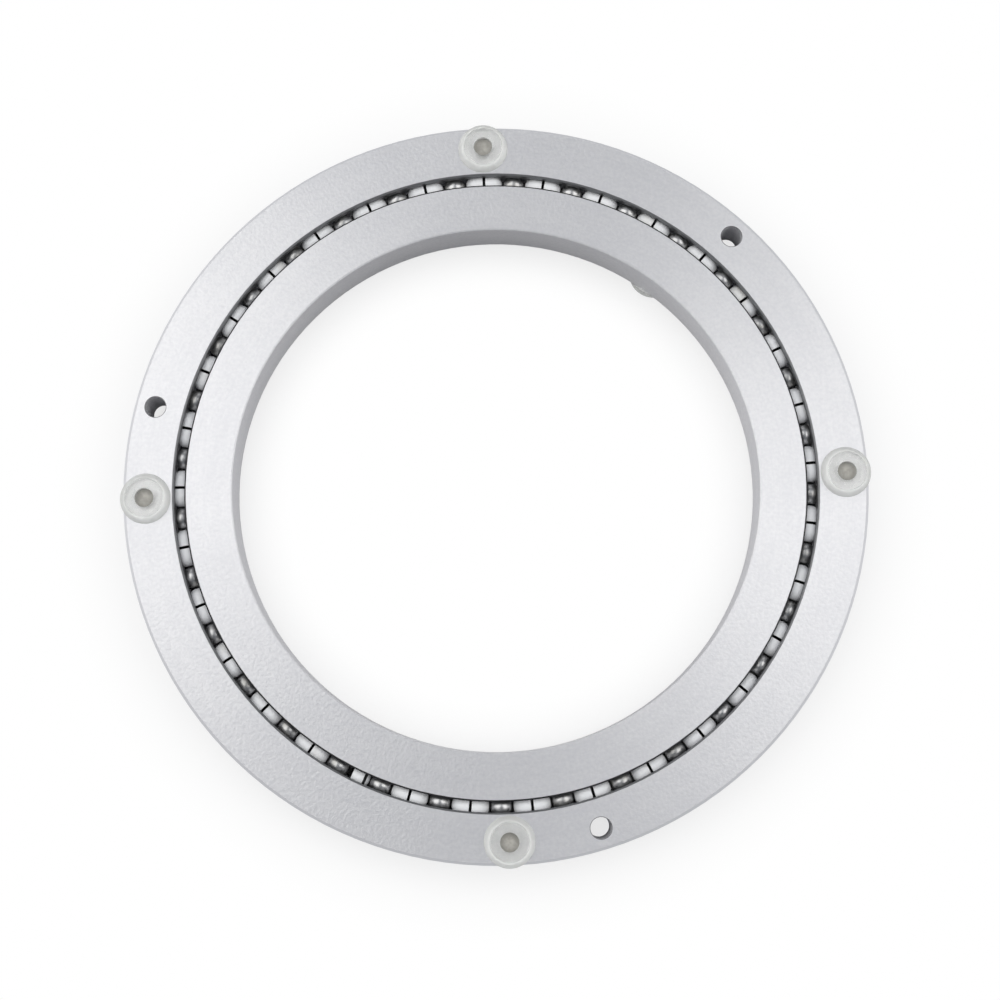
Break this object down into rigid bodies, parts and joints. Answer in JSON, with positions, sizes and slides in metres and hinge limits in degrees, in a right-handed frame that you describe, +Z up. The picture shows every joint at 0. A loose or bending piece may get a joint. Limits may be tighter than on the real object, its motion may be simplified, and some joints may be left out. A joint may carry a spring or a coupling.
{
  "type": "lazy susan bearing",
  "caption": "Flat ring bearing for a turntable: an aluminium outer ring turns on an inner ring, with balls and spacers in the race between them and soft feet above and below.",
  "frame": {"origin": "on the turning axis, in the plane that the feet of the inner ring stand on", "axes": "+Z up along the turning axis, through the feet of the outer ring; +X towards the first foot of the outer ring, within a few degrees"},
  "size_m": [0.1208, 0.1208, 0.0111],
  "materials": {
    "ring_aluminium": "fine bead-blasted silver",
    "foot_plastic": "clear soft plastic, slightly milky",
    "ball_steel": "polished bearing ball",
    "spacer_plastic": "white moulded plastic"
  },
  "bodies": {
    "base": {"inner_ring": "ring_aluminium", "inner_foot_1": "foot_plastic", "inner_foot_2": "foot_plastic", "inner_foot_3": "foot_plastic", "inner_foot_4": "foot_plastic"},
    "turntable": {"outer_ring": "ring_aluminium", "loading_plug": "ring_aluminium", "outer_foot_1": "foot_plastic", "outer_foot_2": "foot_plastic", "outer_foot_3": "foot_plastic", "outer_foot_4": "foot_plastic"},
    "ball_train": {"ball_01": "ball_steel", "ball_02": "ball_steel", "ball_03": "ball_steel", "ball_04": "ball_steel", "ball_05": "ball_steel", "ball_06": "ball_steel", "ball_07": "ball_steel", "ball_08": "ball_steel", "ball_09": "ball_steel", "ball_10": "ball_steel", "ball_11": "ball_steel", "ball_12": "ball_steel", "ball_13": "ball_steel", "ball_14": "ball_steel", "ball_15": "ball_steel", "ball_16": "ball_steel", "ball_17": "ball_steel", "ball_18": "ball_steel", "ball_19": "ball_steel", "ball_20": "ball_steel", "ball_21": "ball_steel", "ball_22": "ball_steel", "ball_23": "ball_steel", "ball_24": "ball_steel", "ball_25": "ball_steel", "ball_26": "ball_steel", "ball_27": "ball_steel", "ball_28": "ball_steel", "ball_29": "ball_steel", "ball_30": "ball_steel", "ball_31": "ball_steel", "ball_32": "ball_steel", "ball_33": "ball_steel", "spacers": "spacer_plastic"}
  },
  "joints": [
    {"name": "turntable_spin", "type": "hinge", "parent": "base", "child": "turntable", "pos_m": [0, 0, 0.0067], "axis": [0, 0, 1], "continuous": true},
    {"name": "train_orbit", "type": "hinge", "parent": "base", "child": "ball_train", "pos_m": [0, 0, 0.0067], "axis": [0, 0, 1], "continuous": true}
  ],
  "couplings": [
    {"joint": "train_orbit", "follows": "turntable_spin", "ratio": 0.517}
  ]
}
